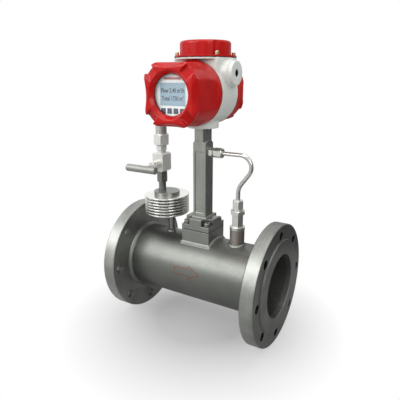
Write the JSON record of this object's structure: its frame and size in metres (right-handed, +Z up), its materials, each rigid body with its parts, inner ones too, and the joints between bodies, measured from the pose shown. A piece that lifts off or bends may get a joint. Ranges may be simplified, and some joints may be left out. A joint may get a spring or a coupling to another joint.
{
  "type": "vortex flow meter",
  "caption": "Flanged pipe flow meter with a square neck, a round display head, a pressure tap with a finned cooler and needle valve, and a temperature probe with a bent conduit.",
  "frame": {"origin": "centre of the inlet flange's bolting face, on the flow axis", "axes": "+X along the flow, +Z up the neck, and the display faces -Y"},
  "size_m": [0.356, 0.25, 0.5893],
  "materials": {
    "dark_steel": "satin",
    "stainless_steel": "satin",
    "polished_steel": "polished",
    "screw_steel": "satin",
    "brass": "satin",
    "red_paint": "gloss",
    "grey_paint": "satin",
    "black_rubber": "matte",
    "gasket_sheet": "matte",
    "window_glass": "polished",
    "module_plastic": "matte",
    "circuit_board": "satin",
    "display_panel": "gloss",
    "plate_plastic": "satin",
    "key_rubber": "matte"
  },
  "bodies": {
    "meter": {"flow_tube": "dark_steel", "inlet_flange": "dark_steel", "outlet_flange": "dark_steel", "flange_welds": "dark_steel", "sensor_seat": "dark_steel", "seat_weld": "dark_steel", "neck_flange": "dark_steel", "neck_weld": "dark_steel", "neck_column": "dark_steel", "neck_adapter": "dark_steel", "pressure_stub": "dark_steel", "tap_welds": "dark_steel", "temperature_socket": "dark_steel", "bluff_body": "stainless_steel", "vortex_probe": "stainless_steel", "cooler_drum": "stainless_steel", "cooling_fin": "stainless_steel", "riser_tube": "stainless_steel", "valve_inlet": "stainless_steel", "valve_body": "stainless_steel", "valve_bonnet": "stainless_steel", "packing_nut": "stainless_steel", "valve_outlet": "stainless_steel", "union_nut": "stainless_steel", "sensor_elbow": "stainless_steel", "elbow_nut": "stainless_steel", "probe_fitting": "stainless_steel", "probe_nut": "stainless_steel", "temperature_probe": "stainless_steel", "conduit_tube": "stainless_steel", "conduit_fitting": "stainless_steel", "conduit_nut": "stainless_steel", "pressure_sensor": "polished_steel", "neck_screws": "screw_steel", "top_cap_screws": "brass", "top_cap": "red_paint", "housing": "grey_paint", "cable_bush": "black_rubber", "top_cap_gasket": "black_rubber", "seat_gasket": "gasket_sheet", "electronics_module": "module_plastic", "terminal_block": "module_plastic", "display_board": "circuit_board", "lcd_panel": "display_panel", "display_plate": "plate_plastic"},
    "front_seal": {"front_cover_seal": "black_rubber"},
    "front_cover": {"front_cover": "red_paint", "window_gasket": "black_rubber", "window_glass": "window_glass", "window_retainer": "stainless_steel"},
    "rear_seal": {"rear_cover_seal": "black_rubber"},
    "rear_cover": {"rear_cover": "red_paint"},
    "needle": {"valve_needle": "stainless_steel"},
    "handle": {"valve_stem": "stainless_steel", "valve_handle": "stainless_steel"},
    "key_1": {"key_1": "key_rubber"},
    "key_2": {"key_2": "key_rubber"},
    "key_3": {"key_3": "key_rubber"},
    "key_4": {"key_4": "key_rubber"}
  },
  "joints": [
    {"name": "front_seal_slide", "type": "slide", "parent": "meter", "child": "front_seal", "axis": [0, -1, 0], "range_m": [0, 0.0101]},
    {"name": "front_cover_turn", "type": "hinge", "parent": "front_seal", "child": "front_cover", "pos_m": [0.175, -0.0315, 0.3685], "axis": [0, -1, 0], "range_deg": [0, 1800]},
    {"name": "rear_seal_slide", "type": "slide", "parent": "meter", "child": "rear_seal", "axis": [0, 1, 0], "range_m": [0, 0.0101]},
    {"name": "rear_cover_turn", "type": "hinge", "parent": "rear_seal", "child": "rear_cover", "pos_m": [0.175, 0.031, 0.3685], "axis": [0, 1, 0], "range_deg": [0, 1800]},
    {"name": "needle_slide", "type": "slide", "parent": "meter", "child": "needle", "axis": [0, -1, 0], "range_m": [0, 0.00505]},
    {"name": "handle_turn", "type": "hinge", "parent": "needle", "child": "handle", "pos_m": [0.071, 0, 0.219], "axis": [0, -1, 0], "range_deg": [0, 1440]},
    {"name": "key_1_press", "type": "slide", "parent": "meter", "child": "key_1", "axis": [0, 1, 0], "range_m": [0, 0.0008], "stiffness_N_per_m": 400},
    {"name": "key_2_press", "type": "slide", "parent": "meter", "child": "key_2", "axis": [0, 1, 0], "range_m": [0, 0.0008], "stiffness_N_per_m": 400},
    {"name": "key_3_press", "type": "slide", "parent": "meter", "child": "key_3", "axis": [0, 1, 0], "range_m": [0, 0.0008], "stiffness_N_per_m": 400},
    {"name": "key_4_press", "type": "slide", "parent": "meter", "child": "key_4", "axis": [0, 1, 0], "range_m": [0, 0.0008], "stiffness_N_per_m": 400}
  ],
  "couplings": [
    {"joint": "front_seal_slide", "follows": "front_cover_turn", "m_per_rad": 0.00031831},
    {"joint": "rear_seal_slide", "follows": "rear_cover_turn", "m_per_rad": 0.00031831},
    {"joint": "needle_slide", "follows": "handle_turn", "m_per_rad": 0.00019894}
  ]
}
